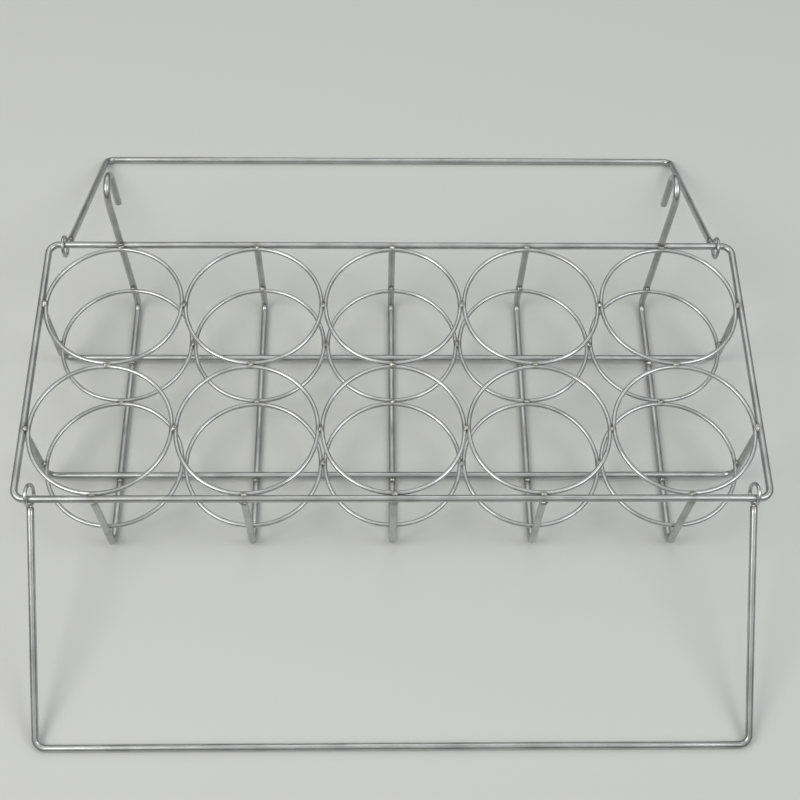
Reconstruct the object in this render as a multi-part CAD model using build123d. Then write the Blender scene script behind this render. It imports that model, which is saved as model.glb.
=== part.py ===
from build123d import *
from math import asin, atan, atan2, cos, hypot, pi, radians, sin, sqrt
import os

# Welded wire carrier for bottles, in millimetres. X runs along the rack, the hooks are on the
# +Y side, and Z = 0 is the surface that the rack and its lowered handles stand on.

# Bottle pockets: two rows of rings on two levels
columns = 5
ring_bore = 75.0
ring_wire = 2.5
ring_spacing = 44.0
lower_ring_height = 22.0

# Heavier wire of the frame, the cross and long wires, the hooks and the handles
frame_wire = 4.0
frame_corner_radius = 6.0
bend_radius = 7.0

# How far one wire is pressed into the next at a weld
weld_sink = 0.15

# Hooks that stand on the rear rail
hook_radius = 8.5
hook_rise = 41.0
hook_drop = 23.0

# Handles: a bail with an eye at each end, looped round a long rail
handle_leg = 132.0
handle_corner_radius = 8.0
eye_radius = 5.5
eye_neck_radius = 4.0
eye_turn = radians(298)
eye_inset = 8.4
eye_clearance = 0.3

# Places that follow from the sizes
wire_radius = frame_wire / 2
ring_radius = (ring_bore + ring_wire) / 2
ring_reach = ring_radius + ring_wire / 2
ring_pitch = 2 * ring_reach - weld_sink
rail_offset = ring_reach + wire_radius - weld_sink
row_y = {"front": -ring_pitch / 2, "rear": ring_pitch / 2}
column_x = [(number - (columns - 1) / 2) * ring_pitch for number in range(columns)]
side_rail_x = column_x[-1] + rail_offset
long_rail_y = row_y["rear"] + rail_offset
rail_height = lower_ring_height + ring_spacing
arm_top = rail_height - wire_radius + weld_sink
cross_run_height = wire_radius
long_run_height = cross_run_height + frame_wire - weld_sink


def bent_wire(*path):
    """Frame-gauge wire along lines and arcs that follow each other."""
    spine = Wire([edge for piece in path for edge in piece.edges()])
    section = Plane(origin=spine @ 0, z_dir=spine % 0) * Circle(wire_radius)
    return sweep(section, path=spine)


def top_frame():
    """Closed rectangle of wire with rounded corners."""
    outline = RectangleRounded(2 * side_rail_x, 2 * long_rail_y, frame_corner_radius)
    return bent_wire(Pos(0, 0, rail_height) * outline.wire())


def ring(x, y, z):
    """Ring that one bottle passes through."""
    return Pos(x, y, z) * Torus(ring_radius, ring_wire / 2)


def cross_wire(x):
    """U from the front rail, under one pair of bottles, up to the rear rail."""
    corners = [
        (x, -long_rail_y, arm_top),
        (x, -long_rail_y, cross_run_height),
        (x, long_rail_y, cross_run_height),
        (x, long_rail_y, arm_top),
    ]
    return bent_wire(FilletPolyline(*corners, radius=bend_radius))


def long_wire(y):
    """U from one side rail, over the cross wires, up to the other side rail."""
    corners = [
        (-side_rail_x, y, arm_top),
        (-side_rail_x, y, long_run_height),
        (side_rail_x, y, long_run_height),
        (side_rail_x, y, arm_top),
    ]
    return bent_wire(FilletPolyline(*corners, radius=bend_radius))


def hook(x):
    """Hook that stands on the rear rail above a cross wire and curls over to the rear."""
    foot = rail_height + wire_radius - weld_sink
    curl = rail_height + hook_rise
    back_y = long_rail_y + 2 * hook_radius
    shank = Line((x, long_rail_y, foot), (x, long_rail_y, curl))
    crown = (x, long_rail_y + hook_radius, curl + hook_radius)
    arc = ThreePointArc((x, long_rail_y, curl), crown, (x, back_y, curl))
    tip = Line((x, back_y, curl), (x, back_y, curl - hook_drop))
    return bent_wire(shank, arc, tip)


def handle(side):
    """Bail, lowered until its bar lies on the table. side is -1 at the front, 1 at the rear."""
    # The eyes are wider than the rail and hang on its top
    hang = eye_radius - frame_wire - eye_clearance
    drop = rail_height - wire_radius
    slope = asin(drop / hypot(handle_leg, hang)) - atan(hang / handle_leg)
    along = Vector(0, side * cos(slope), -sin(slope))
    across = Vector(0, side * sin(slope), cos(slope))
    eye_centre = Vector(0, side * long_rail_y, rail_height) - across * hang
    eye_x = side_rail_x - eye_inset

    def at(reach, rise, x):
        return eye_centre + along * reach + across * rise + Vector(x, 0, 0)

    def on_eye(angle, x):
        return at(eye_radius * cos(angle), eye_radius * sin(angle), x)

    # The neck bends off the leg's line and runs into the eye without a kink
    neck = sqrt(eye_radius**2 + 2 * eye_radius * eye_neck_radius)
    joint_angle = atan2(eye_neck_radius, neck)
    neck_turn = pi / 2 - joint_angle
    neck_middle = -pi / 2 - neck_turn / 2

    def eye(x):
        tip = on_eye(joint_angle + eye_turn, x)
        far = on_eye(joint_angle + eye_turn / 2, x)
        joint = on_eye(joint_angle, x)
        bend = at(
            neck + eye_neck_radius * cos(neck_middle),
            eye_neck_radius + eye_neck_radius * sin(neck_middle),
            x,
        )
        return ThreePointArc(tip, far, joint), ThreePointArc(joint, bend, at(neck, 0, x))

    corners = [
        at(neck, 0, -eye_x),
        at(handle_leg, 0, -eye_x),
        at(handle_leg, 0, eye_x),
        at(neck, 0, eye_x),
    ]
    bail = FilletPolyline(*corners, radius=handle_corner_radius)
    return bent_wire(*eye(-eye_x), bail, *eye(eye_x))


pieces = {"top_frame": top_frame()}
for row, y in row_y.items():
    for number, x in enumerate(column_x, start=1):
        pieces[f"upper_ring_{row}_{number}"] = ring(x, y, rail_height)
        pieces[f"lower_ring_{row}_{number}"] = ring(x, y, lower_ring_height)
    pieces[f"long_wire_{row}"] = long_wire(y)
for number, x in enumerate(column_x, start=1):
    pieces[f"cross_wire_{number}"] = cross_wire(x)
pieces["hook_left"] = hook(column_x[0])
pieces["hook_right"] = hook(column_x[-1])
pieces["front_handle"] = handle(-1)
pieces["rear_handle"] = handle(1)

os.makedirs("parts", exist_ok=True)
for name, piece in pieces.items():
    export_step(piece, f"parts/{name}.step")
    print(f"{name}: {piece.volume:.0f} cubic mm")
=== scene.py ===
import bpy
import math
import random
from mathutils import Matrix, Vector


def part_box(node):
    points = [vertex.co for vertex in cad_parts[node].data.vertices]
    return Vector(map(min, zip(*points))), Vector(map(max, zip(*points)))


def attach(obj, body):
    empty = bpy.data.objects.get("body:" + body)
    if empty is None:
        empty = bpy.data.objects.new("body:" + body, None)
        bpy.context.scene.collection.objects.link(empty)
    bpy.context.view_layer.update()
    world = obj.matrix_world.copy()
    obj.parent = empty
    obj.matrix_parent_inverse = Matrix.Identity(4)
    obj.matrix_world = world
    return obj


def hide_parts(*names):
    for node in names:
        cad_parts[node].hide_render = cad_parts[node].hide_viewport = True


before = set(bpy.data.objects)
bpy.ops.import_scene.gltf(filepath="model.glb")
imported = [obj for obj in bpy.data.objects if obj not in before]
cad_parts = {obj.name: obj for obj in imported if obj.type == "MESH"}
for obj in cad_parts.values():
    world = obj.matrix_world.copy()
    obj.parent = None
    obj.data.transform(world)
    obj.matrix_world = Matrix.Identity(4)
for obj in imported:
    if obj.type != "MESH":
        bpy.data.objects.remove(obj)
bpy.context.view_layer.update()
print("frame loaded,", len(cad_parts), "CAD nodes")

mm = 0.001
scene = bpy.context.scene
scene.view_settings.view_transform = "Standard"


# Helpers for objects, materials and node trees

srgbCurve = {"toeEnd": 0.04045, "toeSlope": 12.92, "offset": 0.055, "power": 2.4}


def linearLevel(level):
    if level <= srgbCurve["toeEnd"]:
        return level / srgbCurve["toeSlope"]
    return ((level + srgbCurve["offset"]) / (1 + srgbCurve["offset"])) ** srgbCurve["power"]


def linearColour(hexCode):
    # four numbers, the last of them the opacity
    return [linearLevel(int(hexCode[place:place + 2], 16) / 255) for place in (1, 3, 5)] + [1.0]


def addObject(name, data):
    made = bpy.data.objects.new(name, data)
    scene.collection.objects.link(made)
    return made


def addNode(tree, kind, settings=None, links=None):
    node = tree.nodes.new(kind)
    for name, value in (settings or {}).items():
        if isinstance(name, str) and hasattr(node, name):
            setattr(node, name, value)
        else:
            node.inputs[name].default_value = value
    for name, source in (links or {}).items():
        tree.links.new(source, node.inputs[name])
    return node


def rescale(tree, value, start, end=(0.0, 1.0), curve="LINEAR"):
    settings = {
        "interpolation_type": curve,
        "From Min": start[0], "From Max": start[1], "To Min": end[0], "To Max": end[1],
    }
    return addNode(tree, "ShaderNodeMapRange", settings, {"Value": value}).outputs[0]


def newMaterial(name, inputs):
    material = bpy.data.materials.new(name)
    material.use_nodes = True
    tree = material.node_tree
    shader = tree.nodes["Principled BSDF"]
    for label, value in inputs.items():
        shader.inputs[label].default_value = value
    return material, tree, shader


def newGeometryTree(name, sockets):
    # a geometry socket each way, and one named input for each size
    tree = bpy.data.node_groups.new(name, "GeometryNodeTree")
    tree.interface.new_socket("Geometry", in_out="INPUT", socket_type="NodeSocketGeometry")
    for label, kind in sockets.items():
        tree.interface.new_socket(label, in_out="INPUT", socket_type="NodeSocket" + kind)
    tree.interface.new_socket("Geometry", in_out="OUTPUT", socket_type="NodeSocketGeometry")
    return tree, addNode(tree, "NodeGroupInput").outputs


def finishTree(tree, given, mesh, spareNames):
    for name in spareNames:
        mesh = addNode(tree, "GeometryNodeRemoveAttribute", {"Name": name}, {0: mesh}).outputs[0]
    mesh = addNode(tree, "GeometryNodeSetShadeSmooth", links={0: mesh}).outputs[0]
    mesh = addNode(tree, "GeometryNodeRealizeInstances", links={0: mesh}).outputs[0]
    mesh = addNode(tree, "GeometryNodeSetMaterial",
                   links={"Geometry": mesh, "Material": given["Material"]}).outputs[0]
    addNode(tree, "NodeGroupOutput", links={0: mesh})
    return tree


def runTree(source, tree, values):
    # the tree's result becomes a plain mesh, and the modifier goes
    modifier = source.modifiers.new(tree.name, "NODES")
    modifier.node_group = tree
    items = [item for item in tree.interface.items_tree if item.in_out == "INPUT"]
    identifiers = {item.name: item.identifier for item in items}
    for label, value in values.items():
        modifier[identifiers[label]] = value
    evaluated = source.evaluated_get(bpy.context.evaluated_depsgraph_get())
    mesh = bpy.data.meshes.new_from_object(evaluated)
    source.modifiers.remove(modifier)
    source.data = mesh
    mesh.name = source.name
    return source


def storeOn(tree, geometry, name, value, kind="FLOAT"):
    return addNode(tree, "GeometryNodeStoreNamedAttribute", {"data_type": kind, "Name": name},
                   {"Geometry": geometry, "Value": value}).outputs[0]


def readFrom(tree, name, kind="FLOAT"):
    return addNode(tree, "GeometryNodeInputNamedAttribute", {"data_type": kind, "Name": name}).outputs[0]


def driftNoise(tree, given, length, detail):
    # noise in space, whose lumps are about as wide as the given length
    frequency = addNode(tree, "ShaderNodeMath", {"operation": "DIVIDE", 0: 1.0}, {1: length}).outputs[0]
    return addNode(tree, "ShaderNodeTexNoise", {"noise_dimensions": "4D", "Detail": detail},
                   {"W": given["Seed"], "Scale": frequency}).outputs


# Sizes that the frame gives

def boxSize(node):
    low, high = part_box(node)
    return high - low


def boxCentre(node):
    low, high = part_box(node)
    return (low + high) / 2


outwardOf = {"front": -1, "rear": 1}
columnCount = sum(name.startswith("upper_ring_front_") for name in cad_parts)
columnNumbers = range(1, columnCount + 1)
wireRadius = boxSize("top_frame").z / 2
ringWireRadius = boxSize("upper_ring_front_1").z / 2
ringReach = boxSize("upper_ring_front_1").x / 2
ringRadius = ringReach - ringWireRadius
railHeight = boxCentre("top_frame").z
lowerRingHeight = boxCentre("lower_ring_front_1").z
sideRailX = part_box("top_frame")[1].x - wireRadius
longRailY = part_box("top_frame")[1].y - wireRadius
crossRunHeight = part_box("cross_wire_1")[0].z + wireRadius
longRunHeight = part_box("long_wire_front")[0].z + wireRadius
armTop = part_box("cross_wire_1")[1].z
columnX = [boxCentre(f"upper_ring_front_{number}").x for number in columnNumbers]
rowY = {row: boxCentre(f"upper_ring_{row}_1").y for row in outwardOf}
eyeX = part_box("front_handle")[1].x - wireRadius
barY = {
    "front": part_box("front_handle")[0].y + wireRadius,
    "rear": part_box("rear_handle")[1].y - wireRadius,
}


# Camera and stage

photoCamera = {
    "position": (-0.0103, -0.3595, 0.6878),
    "elevation": 61.5,                  # how far it looks down, in degrees
    "yaw": -2.38,
    "roll": 2.09,
    "lens": 57.54,
    "sensor": 36.0,
    "nearClip": 0.01,
}
studio = {
    "floorColour": "#cccdcc",
    "floorRoughness": 0.9,
    "floorSpecular": 0.1,
    "floorSize": 6.0,
    "fadeFrom": 0.5,                    # where the table starts to turn into the backdrop, in metres
    "fadeTo": 1.3,
    "screenColour": "#2b2b2b",
    "screenRoughness": 1.0,
    "screenSides": 48,
    "screenDistance": 2.2,
    "screenHeight": 0.95,
    "lamps": {
        "leftLamp": {"place": (-0.78, -0.35, 1.1), "size": 0.75, "power": 6.6, "colour": "#fffdf8"},
        "rightLamp": {"place": (0.85, -0.3, 1.15), "size": 0.75, "power": 4.6, "colour": "#fafcff"},
        "rearSoftbox": {"place": (0.0, 0.95, 1.5), "size": 1.0, "power": 2.2, "colour": "#ffffff"},
    },
}


def placeCamera(spec):
    data = bpy.data.cameras.new("photoCamera")
    data.lens = spec["lens"]
    data.sensor_width = spec["sensor"]
    data.clip_start = spec["nearClip"]
    camera = addObject("photoCamera", data)
    turn = Matrix.Rotation(math.radians(spec["yaw"]), 4, "Z")
    tilt = Matrix.Rotation(math.radians(90 - spec["elevation"]), 4, "X")
    roll = Matrix.Rotation(math.radians(spec["roll"]), 4, "Z")
    camera.matrix_world = Matrix.Translation(spec["position"]) @ turn @ tilt @ roll
    scene.camera = camera


def placeLamp(name, spec):
    data = bpy.data.lights.new(name, "AREA")
    data.shape = "DISK"
    data.size = spec["size"]
    data.energy = spec["power"]
    data.color = linearColour(spec["colour"])[:3]
    lamp = addObject(name, data)
    lamp.location = spec["place"]
    lamp.rotation_mode = "QUATERNION"
    lamp.rotation_quaternion = (-Vector(spec["place"])).to_track_quat("-Z", "Y")


def paintSky(spec):
    world = bpy.data.worlds.new("paleBackdrop")
    world.use_nodes = True
    scene.world = world
    world.node_tree.nodes["Background"].inputs["Color"].default_value = linearColour(spec["floorColour"])


def hangScreens(spec):
    # a low dark screen all round, which the camera doesn't see, draws dark edges on the bright wire
    sides, distance = spec["screenSides"], spec["screenDistance"]
    turns = [2 * math.pi * index / sides for index in range(sides)]
    outline = [(distance * math.cos(turn), distance * math.sin(turn)) for turn in turns]
    corners = [(x, y, z) for z in (0, spec["screenHeight"]) for x, y in outline]
    pairs = [(index, (index + 1) % sides) for index in range(sides)]
    mesh = bpy.data.meshes.new("darkScreens")
    mesh.from_pydata(corners, [], [(left, right, sides + right, sides + left) for left, right in pairs])
    screens = addObject("darkScreens", mesh)
    screens.visible_camera = False
    material = newMaterial("blackFelt", {
        "Base Color": linearColour(spec["screenColour"]), "Roughness": spec["screenRoughness"],
    })[0]
    mesh.materials.append(material)


def layFloor(spec):
    half = spec["floorSize"] / 2
    corners = [(-half, -half, 0), (half, -half, 0), (half, half, 0), (-half, half, 0)]
    mesh = bpy.data.meshes.new("floor")
    mesh.from_pydata(corners, [], [(0, 1, 2, 3)])
    floor = addObject("floor", mesh)
    colour = linearColour(spec["floorColour"])
    material, tree, shader = newMaterial("matteTableTop", {
        "Base Color": colour, "Roughness": spec["floorRoughness"],
        "Specular IOR Level": spec["floorSpecular"],
    })
    # far from the object the table turns into the backdrop, so no edge shows
    place = addNode(tree, "ShaderNodeTexCoord").outputs["Object"]
    distance = addNode(tree, "ShaderNodeVectorMath", {"operation": "LENGTH"}, {0: place}).outputs["Value"]
    fade = rescale(tree, distance, (spec["fadeFrom"], spec["fadeTo"]), curve="SMOOTHSTEP")
    backdrop = addNode(tree, "ShaderNodeEmission", {"Color": colour}).outputs[0]
    mixed = addNode(tree, "ShaderNodeMixShader", links={0: fade, 1: shader.outputs[0], 2: backdrop})
    tree.links.new(mixed.outputs[0], tree.nodes["Material Output"].inputs["Surface"])
    mesh.materials.append(material)


placeCamera(photoCamera)
paintSky(studio)
layFloor(studio)
hangScreens(studio)
for lampName, lampSpec in studio["lamps"].items():
    placeLamp(lampName, lampSpec)
print("camera, floor, backdrop and lamps placed")


# Stainless steel. The wire is cold drawn, so faint lines run along it and its highlights are long.

wireFinishes = {
    "frame_wire": {
        "name": "drawnStainlessHeavy",
        "colour": "#c3c4c4", "dullColour": "#abacac", "tintColour": "#8b8783",
        "roughness": 0.33, "roughnessSpread": 0.12,
        "lineSpacing": 0.35, "lineLength": 14.0, "lineDepth": 0.02,
        "smudgeSize": 16.0, "tintReach": 5.0,
    },
    "ring_wire": {
        "name": "drawnStainlessFine",
        "colour": "#cacbcb", "dullColour": "#b2b3b3", "tintColour": "#8f8b86",
        "roughness": 0.3, "roughnessSpread": 0.1,
        "lineSpacing": 0.3, "lineLength": 10.0, "lineDepth": 0.015,
        "smudgeSize": 12.0, "tintReach": 3.5,
    },
    "handle_wire": {
        "name": "drawnStainlessHandled",
        "colour": "#c3c4c4", "dullColour": "#a7a8a8", "tintColour": "#8b8783",
        "roughness": 0.31, "roughnessSpread": 0.14,
        "lineSpacing": 0.35, "lineLength": 14.0, "lineDepth": 0.02,
        "smudgeSize": 22.0, "tintReach": 5.0,
    },
}
wireWear = {
    "lineDetail": 3.0,
    "lineRange": (0.3, 0.7),            # the part of the noise's range that the surface uses
    "lineStrength": 0.6,
    "smudgeDetail": 4.0,
    "smudgeRange": (0.4, 0.68),
    "tintStart": 1.5,                   # the heat tint is full this near to a weld, in mm
    "tintShare": 0.75,
}
weldFinish = {
    "name": "weldedStainless",
    "colour": "#bebebc", "scaleColour": "#787674",
    "scaleRange": (0.45, 0.7), "scaleShare": 0.8,
    "roughness": (0.28, 0.51),
    "lumpSize": 1.1, "lumpDetail": 3.0, "lumpRange": (0.3, 0.7),
    "lumpDepth": 0.1, "lumpStrength": 0.7,
}


def newMetal(name):
    material, tree, shader = newMaterial(name, {"Metallic": 1.0})
    return material, tree, shader, addNode(tree, "ShaderNodeTexCoord").outputs["Object"]


def surfaceNoise(tree, place, scale, detail):
    return addNode(tree, "ShaderNodeTexNoise", {"Scale": scale, "Detail": detail},
                   {"Vector": place}).outputs["Fac"]


def plainColour(tree, hexCode):
    colour = addNode(tree, "ShaderNodeRGB").outputs[0]
    colour.default_value = linearColour(hexCode)
    return colour


def mixColours(tree, share, first, hexCode):
    # sockets 6 and 7 of a mix node are its two colours, and its output 2 is the mixed one
    settings = {"data_type": "RGBA", 7: linearColour(hexCode)}
    return addNode(tree, "ShaderNodeMix", settings, {0: share, 6: first}).outputs[2]


def wearMetal(tree, shader, colour, noise, noiseRange, roughness, depth, strength):
    # the same noise makes the metal rougher and raises it
    bump = addNode(tree, "ShaderNodeBump", {"Strength": strength, "Distance": depth * mm},
                   {"Height": noise}).outputs[0]
    tree.links.new(colour, shader.inputs["Base Color"])
    tree.links.new(rescale(tree, noise, noiseRange, roughness), shader.inputs["Roughness"])
    tree.links.new(bump, shader.inputs["Normal"])


def drawnWire(spec, wear):
    material, tree, shader, place = newMetal(spec["name"])
    onWire = addNode(tree, "ShaderNodeAttribute", {"attribute_name": "wireCoords"}).outputs["Vector"]
    across = 1 / (spec["lineSpacing"] * mm)
    along = 1 / (spec["lineLength"] * mm)
    stretched = addNode(tree, "ShaderNodeMapping", {"Scale": (across, across, along)},
                        {"Vector": onWire}).outputs[0]
    # the mapping has scaled the place already
    lines = surfaceNoise(tree, stretched, 1.0, wear["lineDetail"])
    smudges = surfaceNoise(tree, place, 1 / (spec["smudgeSize"] * mm), wear["smudgeDetail"])
    dullness = rescale(tree, smudges, wear["smudgeRange"])
    skin = mixColours(tree, dullness, plainColour(tree, spec["colour"]), spec["dullColour"])
    weldGap = addNode(tree, "ShaderNodeAttribute", {"attribute_name": "weldDistance"}).outputs["Fac"]
    heat = rescale(tree, weldGap, (spec["tintReach"] * mm, wear["tintStart"] * mm),
                   (0.0, wear["tintShare"]), "SMOOTHSTEP")
    tinted = mixColours(tree, heat, skin, spec["tintColour"])
    low = spec["roughness"] - spec["roughnessSpread"] / 2
    wearMetal(tree, shader, tinted, lines, wear["lineRange"],
              (low, low + spec["roughnessSpread"]), spec["lineDepth"], wear["lineStrength"])
    return material


def weldMetal(spec):
    material, tree, shader, place = newMetal(spec["name"])
    lumps = surfaceNoise(tree, place, 1 / (spec["lumpSize"] * mm), spec["lumpDetail"])
    scale = rescale(tree, lumps, spec["scaleRange"], (0.0, spec["scaleShare"]))
    skin = mixColours(tree, scale, plainColour(tree, spec["colour"]), spec["scaleColour"])
    wearMetal(tree, shader, skin, lumps, spec["lumpRange"], spec["roughness"], spec["lumpDepth"],
              spec["lumpStrength"])
    return material


wireMaterials = {slot: drawnWire(spec, wireWear) for slot, spec in wireFinishes.items()}
weldMaterial = weldMetal(weldFinish)
print("wire and weld materials made")


# Weld beads, first as points: a place, half sizes along X, Y and Z, and a turn

weldBead = {
    "seed": 11,
    "jitter": 0.25,                     # lengths in mm, angles in degrees, sizeSpread a share
    "sizeSpread": 0.18,
    "turnSpread": 22.0,
    "subdivisions": 4,                  # of the ball that a bead starts as
    "lumpHeight": 0.45,
    "lumpWidth": 1.6,
    "lumpDetail": 1.0,
    "lumpRange": (0.25, 0.75),
    "swellRange": (-0.5, 0.5),          # of the lump height
    "ringToRing": (2.0, 1.25, 1.05),    # along the wires, across them, up
    "ringToRail": (2.1, 1.45, 1.15),
    "ringToArm": (1.7, 1.5, 1.6),
    "collar": (2.45, 2.45, 1.1),
    "crossing": (1.8, 1.5, 1.4),
    "eyeToLeg": (2.0, 1.7, 1.7),
    "ringLift": 0.6,                    # a bead over two thin wires sits above their middle
    "railLift": 0.8,
}


def weldPlaces(spec):
    places = []

    def addWeld(x, y, z, form, runsAlongY=False):
        along, across, up = spec[form]
        size = (across, along, up) if runsAlongY else (along, across, up)
        places.append((Vector((x, y, z)), size))

    ringLift = spec["ringLift"] * mm
    railLift = spec["railLift"] * mm
    for row, y in rowY.items():
        outward = outwardOf[row]
        for level in (railHeight, lowerRingHeight):
            for left, right in zip(columnX, columnX[1:]):
                addWeld((left + right) / 2, y, level + ringLift, "ringToRing", runsAlongY=True)
        for x in columnX:
            addWeld(x, y + outward * ringReach, railHeight + ringLift, "ringToRail")
            addWeld(x, y + outward * ringReach, lowerRingHeight + ringLift, "ringToArm")
            addWeld(x, outward * longRailY, railHeight - wireRadius, "collar")
            addWeld(x, y - wireRadius, longRunHeight - wireRadius, "crossing")
        for side in (-1, 1):
            edgeX = side * (columnX[-1] + ringReach)
            addWeld(edgeX, y, railHeight + railLift, "ringToRail", runsAlongY=True)
            addWeld(edgeX, y, lowerRingHeight + ringLift, "ringToArm", runsAlongY=True)
            addWeld(side * sideRailX, y, railHeight - wireRadius, "collar")
    for x in columnX:
        for level in (railHeight, lowerRingHeight):
            addWeld(x, 0, level + ringLift, "ringToRing")
    for x in (columnX[0], columnX[-1]):
        addWeld(x, longRailY, railHeight + wireRadius, "collar")
    return places


def weldPoints(name, places, spec):
    chance = random.Random(spec["seed"])
    jitter = spec["jitter"] * mm
    spread = math.radians(spec["turnSpread"])

    def threeDraws(limit):
        return Vector([chance.uniform(-limit, limit) for axis in range(3)])

    mesh = bpy.data.meshes.new(name)
    mesh.from_pydata([place + threeDraws(jitter) for place, size in places], [], [])
    sizes = mesh.attributes.new("beadSize", "FLOAT_VECTOR", "POINT")
    turns = mesh.attributes.new("beadTurn", "FLOAT_VECTOR", "POINT")
    for index, (place, size) in enumerate(places):
        grow = 1 + chance.uniform(-1, 1) * spec["sizeSpread"]
        sizes.data[index].vector = [value * grow * mm for value in size]
        turns.data[index].vector = threeDraws(spread)
    return addObject(name, mesh)


rackWelds = weldPoints("weldBeads", weldPlaces(weldBead), weldBead)
beadSets = {"rack": rackWelds}
print("weld points set out,", len(rackWelds.data.vertices))


# Round wire swept along a path

wirePath = {
    "longestRun": 4.0,                  # lengths in mm, angles in degrees
    "arcStep": 6.0,
    "fewestSteps": 2,
    "endChamfer": 0.3,
    "sides": 24,
    "sway": 0.5,                        # how wide its whole drift is, from side to side
    "swayLength": 90.0,
    "swayDetail": 1.0,
}
tubeSizes = {
    "Wire Radius": "Float", "Sides": "Int", "Sway": "Float", "Sway Length": "Float", "Seed": "Float",
    "Welds": "Object", "Material": "Material",
}


def tubeAlong(tree, given, curve, detail, endScale=None):
    # hand bending leaves the wire a little off its line
    length = addNode(tree, "GeometryNodeSplineParameter").outputs["Length"]
    curve = storeOn(tree, curve, "alongWire", length)
    drift = driftNoise(tree, given, given["Sway Length"], detail)["Color"]
    middle = (0.5, 0.5, 0.5)
    centred = addNode(tree, "ShaderNodeVectorMath", {"operation": "SUBTRACT", 1: middle},
                      {0: drift}).outputs[0]
    offset = addNode(tree, "ShaderNodeVectorMath", {"operation": "SCALE"},
                     {0: centred, "Scale": given["Sway"]}).outputs[0]
    curve = addNode(tree, "GeometryNodeSetPosition", links={"Geometry": curve, "Offset": offset}).outputs[0]
    profile = addNode(tree, "GeometryNodeCurvePrimitiveCircle",
                      links={"Resolution": given["Sides"], "Radius": given["Wire Radius"]}).outputs[0]
    position = addNode(tree, "GeometryNodeInputPosition").outputs[0]
    profile = storeOn(tree, profile, "aroundWire", position, "FLOAT_VECTOR")
    links = {"Curve": curve, "Profile Curve": profile}
    if endScale is not None:
        links["Scale"] = endScale
    tube = addNode(tree, "GeometryNodeCurveToMesh", {"Fill Caps": True}, links).outputs[0]
    # seamless coordinates on the wire: two across its section and one along it
    around = readFrom(tree, "aroundWire", "FLOAT_VECTOR")
    split = addNode(tree, "ShaderNodeSeparateXYZ", links={0: around}).outputs
    joined = addNode(tree, "ShaderNodeCombineXYZ",
                     links={0: split[0], 1: split[1], 2: readFrom(tree, "alongWire")}).outputs[0]
    tube = storeOn(tree, tube, "wireCoords", joined, "FLOAT_VECTOR")
    welds = addNode(tree, "GeometryNodeObjectInfo", links={0: given["Welds"]}).outputs["Geometry"]
    gap = addNode(tree, "GeometryNodeProximity", {"target_element": "POINTS"},
                  {0: welds}).outputs["Distance"]
    return storeOn(tree, tube, "weldDistance", gap)


def wireTree(spec):
    tree, given = newGeometryTree("roundWire", tubeSizes)
    curve = addNode(tree, "GeometryNodeMeshToCurve", links={0: given["Geometry"]}).outputs[0]
    tube = tubeAlong(tree, given, curve, spec["swayDetail"], readFrom(tree, "endScale"))
    return finishTree(tree, given, tube, ("alongWire", "aroundWire", "endScale"))


def arcPoints(centre, start, end):
    # the shorter arc from one point to another round a centre
    first, last = start - centre, end - centre
    step = math.radians(wirePath["arcStep"])
    count = max(wirePath["fewestSteps"], math.ceil(first.angle(last) / step))
    return [centre + first.normalized().slerp(last.normalized(), index / count) * first.length
            for index in range(count + 1)]


def bentPath(corners, bendRadius, closed=False):
    points = []
    for index, corner in enumerate(corners):
        if not closed and index in (0, len(corners) - 1):
            points.append(corner)
            continue
        toLast = (corners[index - 1] - corner).normalized()
        toNext = (corners[(index + 1) % len(corners)] - corner).normalized()
        halfAngle = toLast.angle(toNext) / 2
        reach = bendRadius / math.tan(halfAngle)
        centre = corner + (toLast + toNext).normalized() * bendRadius / math.sin(halfAngle)
        points += arcPoints(centre, corner + toLast * reach, corner + toNext * reach)
    return points


def wireMesh(name, paths):
    # paths is a list of (points, closed). Long runs are divided, and a cut end gets a small chamfer.
    vertices, edges, scales = [], [], []
    longest = wirePath["longestRun"] * mm
    chamfer = wirePath["endChamfer"] * mm
    for points, closed in paths:
        if not closed:
            startStep = (points[1] - points[0]).normalized() * chamfer
            endStep = (points[-2] - points[-1]).normalized() * chamfer
            points = [points[0], points[0] + startStep, *points[1:-1], points[-1] + endStep, points[-1]]
        first = len(vertices)
        ring = points + points[:1] if closed else points
        for start, end in zip(ring, ring[1:]):
            count = max(1, math.ceil((end - start).length / longest))
            vertices += [start.lerp(end, index / count) for index in range(count)]
        if not closed:
            vertices.append(points[-1])
        last = len(vertices) - 1
        edges += [(index, index + 1) for index in range(first, last)]
        if closed:
            edges.append((last, first))
        scales += [1.0] * (last + 1 - first)
        if not closed:
            scales[first] = scales[last] = 1 - chamfer / wireRadius
    mesh = bpy.data.meshes.new(name)
    mesh.from_pydata(vertices, edges, [])
    mesh.attributes.new("endScale", "FLOAT", "POINT").data.foreach_set("value", scales)
    return addObject(name, mesh)


roundWire = wireTree(wirePath)


def drawWire(name, paths, slot, body, nodes, seed, radius=wireRadius, welds=rackWelds):
    wire = wireMesh(name, paths)
    runTree(wire, roundWire, {
        "Wire Radius": radius, "Sides": wirePath["sides"], "Sway": wirePath["sway"] * mm,
        "Sway Length": wirePath["swayLength"] * mm, "Seed": float(seed), "Welds": welds,
        "Material": wireMaterials[slot],
    })
    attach(wire, body)
    if nodes:
        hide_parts(*nodes)
    return wire


# Frame, bottom wires and hooks. Bends are the radius of the wire's middle line, in mm.

topFrame = {"bend": 6.0, "seed": 1}
crossWire = {"bend": 7.0, "seed": 10}
longWire = {"bend": 7.0, "seed": 20}
hook = {"bend": 8.5, "drop": 23.0, "seed": 30}


def framePath(spec):
    x, y = sideRailX, longRailY
    corners = [Vector((*corner, railHeight)) for corner in ((-x, -y), (x, -y), (x, y), (-x, y))]
    return bentPath(corners, spec["bend"] * mm, closed=True)


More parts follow.
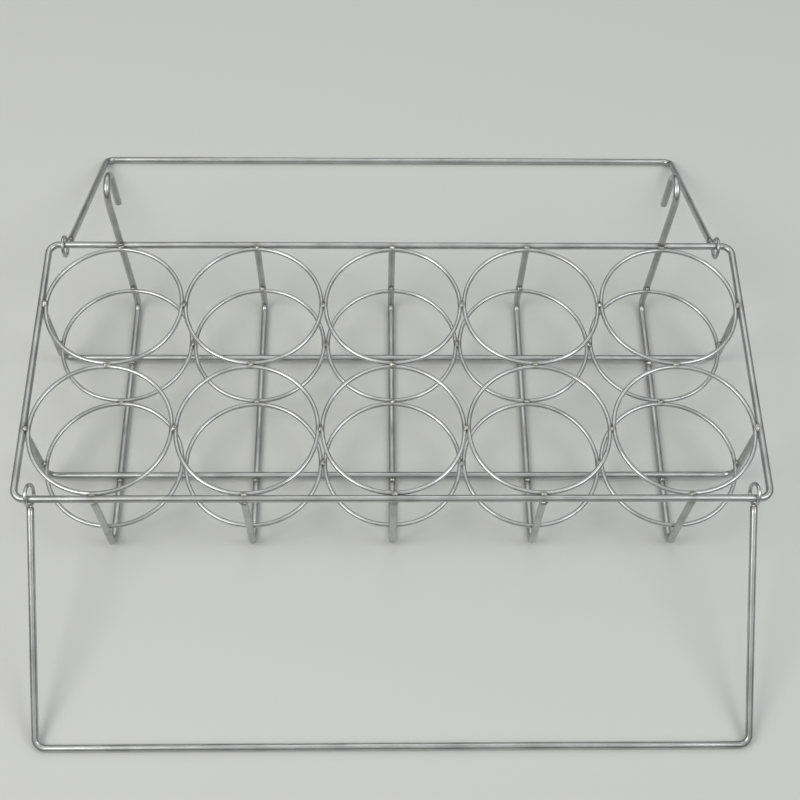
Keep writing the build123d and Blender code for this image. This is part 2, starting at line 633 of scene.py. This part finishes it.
def bottomPath(start, end, runHeight, spec):
    # down from under one rail, along the bottom and up to the rail across from it
    corners = [(*start, armTop), (*start, runHeight), (*end, runHeight), (*end, armTop)]
    return bentPath([Vector(corner) for corner in corners], spec["bend"] * mm)


def hookPath(node, spec):
    low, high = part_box(node)
    x = (low.x + high.x) / 2
    radius = spec["bend"] * mm
    curl = high.z - wireRadius - radius
    frontY, backY = low.y + wireRadius, high.y - wireRadius
    centre = Vector((x, (frontY + backY) / 2, curl))
    crown = centre + Vector((0, 0, radius))
    front = Vector((x, frontY, curl))
    back = Vector((x, backY, curl))
    foot = Vector((x, frontY, low.z))
    tip = Vector((x, backY, curl - spec["drop"] * mm))
    return [foot, *arcPoints(centre, front, crown), *arcPoints(centre, crown, back)[1:], tip]


def drawRackWire(name, path, node, seed, closed=False):
    return drawWire(name, [(path, closed)], "frame_wire", "rack", [node], seed)


drawRackWire("topFrameWire", framePath(topFrame), "top_frame", topFrame["seed"], closed=True)
for number, x in enumerate(columnX, start=1):
    path = bottomPath((x, -longRailY), (x, longRailY), crossRunHeight, crossWire)
    drawRackWire(f"crossWire{number}", path, f"cross_wire_{number}", crossWire["seed"] + number)
for number, (row, y) in enumerate(rowY.items()):
    path = bottomPath((-sideRailX, y), (sideRailX, y), longRunHeight, longWire)
    drawRackWire(f"longWire{row.title()}", path, f"long_wire_{row}", longWire["seed"] + number)
for number, side in enumerate(("left", "right")):
    node = f"hook_{side}"
    drawRackWire(f"hook{side.title()}", hookPath(node, hook), node, hook["seed"] + number)
print("frame, bottom wires and hooks drawn")


# Handles: a bail of heavy wire, and on the end of each leg an eye of thinner wire round the rail

bail = {
    "bend": 5.5,                        # lengths in mm, angles in degrees
    "seed": 41,
    "eyeSeed": 51,
    "eyeRadius": 5.75,
    "eyeWireRadius": 1.0,
    "eyeGap": 0.3,                      # between the eye and the rail that it hangs on
    "eyeSink": 0.5,                     # how far the leg's end is pressed into the eye
    "eyeSkew": {"front": 9.0, "rear": 3.0},
    "eyePlace": {"front": -139.0, "rear": -49.0},
    "legStep": {"front": 0.6, "rear": 1.6},
    "drawIn": {"front": 2.8, "rear": 0.4},
}


def bailPaths(row, spec):
    # the eye hangs on the rail at its place, and the leg runs from it to the bar on the table
    side = outwardOf[row]
    rail = Vector((0, side * longRailY, railHeight))
    bar = Vector((0, barY[row], wireRadius))
    outward = (bar - rail).normalized()
    upward = Vector((0, -side * outward.z, side * outward.y))
    eyeRadius, eyeWireRadius = spec["eyeRadius"] * mm, spec["eyeWireRadius"] * mm
    play = eyeRadius - eyeWireRadius - wireRadius - spec["eyeGap"] * mm
    place = math.radians(spec["eyePlace"][row])
    eyeCentre = rail + (outward * math.cos(place) + upward * math.sin(place)) * play
    along = (bar - eyeCentre).normalized()
    across = Vector((0, -side * along.z, side * along.y))
    legX = eyeX - spec["legStep"][row] * mm
    barX = legX - spec["drawIn"][row] * mm
    legStart = eyeCentre + along * (eyeRadius + eyeWireRadius - spec["eyeSink"] * mm)
    corners = [(legStart, -legX), (bar, -barX), (bar, barX), (legStart, legX)]
    bent = bentPath([point + Vector((x, 0, 0)) for point, x in corners], spec["bend"] * mm)
    skew = math.radians(spec["eyeSkew"][row])
    turns = round(360 / wirePath["arcStep"])
    angles = [2 * math.pi * index / turns for index in range(turns)]
    inward = spec["legStep"][row] * mm / 2
    eyes, welds = [], []
    for end in (-1, 1):
        rise = across * math.cos(skew) + Vector((end * math.sin(skew), 0, 0))
        centre = eyeCentre + Vector((end * eyeX, 0, 0))
        eyes.append([centre + (along * math.cos(angle) + rise * math.sin(angle)) * eyeRadius
                     for angle in angles])
        welds.append((legStart + Vector((end * (eyeX - inward), 0, 0)), weldBead["eyeToLeg"]))
    return bent, eyes, welds


for number, row in enumerate(rowY):
    bent, eyes, welds = bailPaths(row, bail)
    body = f"{row}_handle"
    beadSets[body] = weldPoints(f"{row}EyeWelds", welds, weldBead)
    drawWire(f"{row}Handle", [(bent, False)], "handle_wire", body, [body], bail["seed"] + number,
             welds=beadSets[body])
    drawWire(f"{row}Eyes", [(eye, True) for eye in eyes], "ring_wire", body, [], bail["eyeSeed"] + number,
             bail["eyeWireRadius"] * mm, beadSets[body])
print("handles and their eyes drawn")


# Rings: one circle of thin wire on each place, a little out of round

ringSet = {
    "steps": 120,
    "sides": 18,
    "sway": 0.9,
    "swayLength": 55.0,
    "swayDetail": 0.0,
    "seed": 5.0,
}


def ringTree(spec):
    tree, given = newGeometryTree("bottleRings", {"Ring Radius": "Float", "Steps": "Int", **tubeSizes})
    circle = addNode(tree, "GeometryNodeCurvePrimitiveCircle",
                     links={"Resolution": given["Steps"], "Radius": given["Ring Radius"]}).outputs[0]
    rings = addNode(tree, "GeometryNodeInstanceOnPoints",
                    links={"Points": given["Geometry"], "Instance": circle}).outputs[0]
    # each ring gets its own noise, so the circles are real ones before they are bent
    rings = addNode(tree, "GeometryNodeRealizeInstances", links={0: rings}).outputs[0]
    tube = tubeAlong(tree, given, rings, spec["swayDetail"])
    return finishTree(tree, given, tube, ("alongWire", "aroundWire"))


def layRings(tree, level, spec):
    nodes = [f"{level}_ring_{row}_{number}" for row in rowY for number in columnNumbers]
    name = f"{level}Rings"
    mesh = bpy.data.meshes.new(name)
    mesh.from_pydata([boxCentre(node) for node in nodes], [], [])
    rings = runTree(addObject(name, mesh), tree, {
        "Ring Radius": ringRadius, "Wire Radius": ringWireRadius, "Steps": spec["steps"],
        "Sides": spec["sides"], "Sway": spec["sway"] * mm, "Sway Length": spec["swayLength"] * mm,
        "Seed": spec["seed"], "Welds": rackWelds, "Material": wireMaterials["ring_wire"],
    })
    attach(rings, "rack")
    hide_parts(*nodes)


bottleRings = ringTree(ringSet)
for level in ("upper", "lower"):
    layRings(bottleRings, level, ringSet)
print("rings laid")


# Weld beads: a lumpy drop of metal on each weld point

def beadTree(spec):
    tree, given = newGeometryTree("weldBeads", {
        "Lump Height": "Float", "Lump Width": "Float", "Seed": "Float", "Material": "Material",
    })
    drop = addNode(tree, "GeometryNodeMeshIcoSphere",
                   {"Radius": 1.0, "Subdivisions": spec["subdivisions"]}).outputs[0]
    turn = addNode(tree, "FunctionNodeEulerToRotation",
                   links={0: readFrom(tree, "beadTurn", "FLOAT_VECTOR")}).outputs[0]
    beads = addNode(tree, "GeometryNodeInstanceOnPoints", links={
        "Points": given["Geometry"], "Instance": drop, "Rotation": turn,
        "Scale": readFrom(tree, "beadSize", "FLOAT_VECTOR"),
    }).outputs[0]
    # each bead gets its own lumps, so the drops are real ones before they swell
    beads = addNode(tree, "GeometryNodeRealizeInstances", links={0: beads}).outputs[0]
    lumps = driftNoise(tree, given, given["Lump Width"], spec["lumpDetail"])["Fac"]
    swell = rescale(tree, lumps, spec["lumpRange"], spec["swellRange"])
    height = addNode(tree, "ShaderNodeMath", {"operation": "MULTIPLY"},
                     {0: swell, 1: given["Lump Height"]}).outputs[0]
    normal = addNode(tree, "GeometryNodeInputNormal").outputs[0]
    offset = addNode(tree, "ShaderNodeVectorMath", {"operation": "SCALE"},
                     {0: normal, "Scale": height}).outputs[0]
    beads = addNode(tree, "GeometryNodeSetPosition", links={"Geometry": beads, "Offset": offset}).outputs[0]
    return finishTree(tree, given, beads, ("beadSize", "beadTurn"))


beadShape = beadTree(weldBead)
for body, beads in beadSets.items():
    runTree(beads, beadShape, {
        "Lump Height": weldBead["lumpHeight"] * mm, "Lump Width": weldBead["lumpWidth"] * mm,
        "Seed": float(weldBead["seed"]), "Material": weldMaterial,
    })
    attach(beads, body)
print("weld beads set")
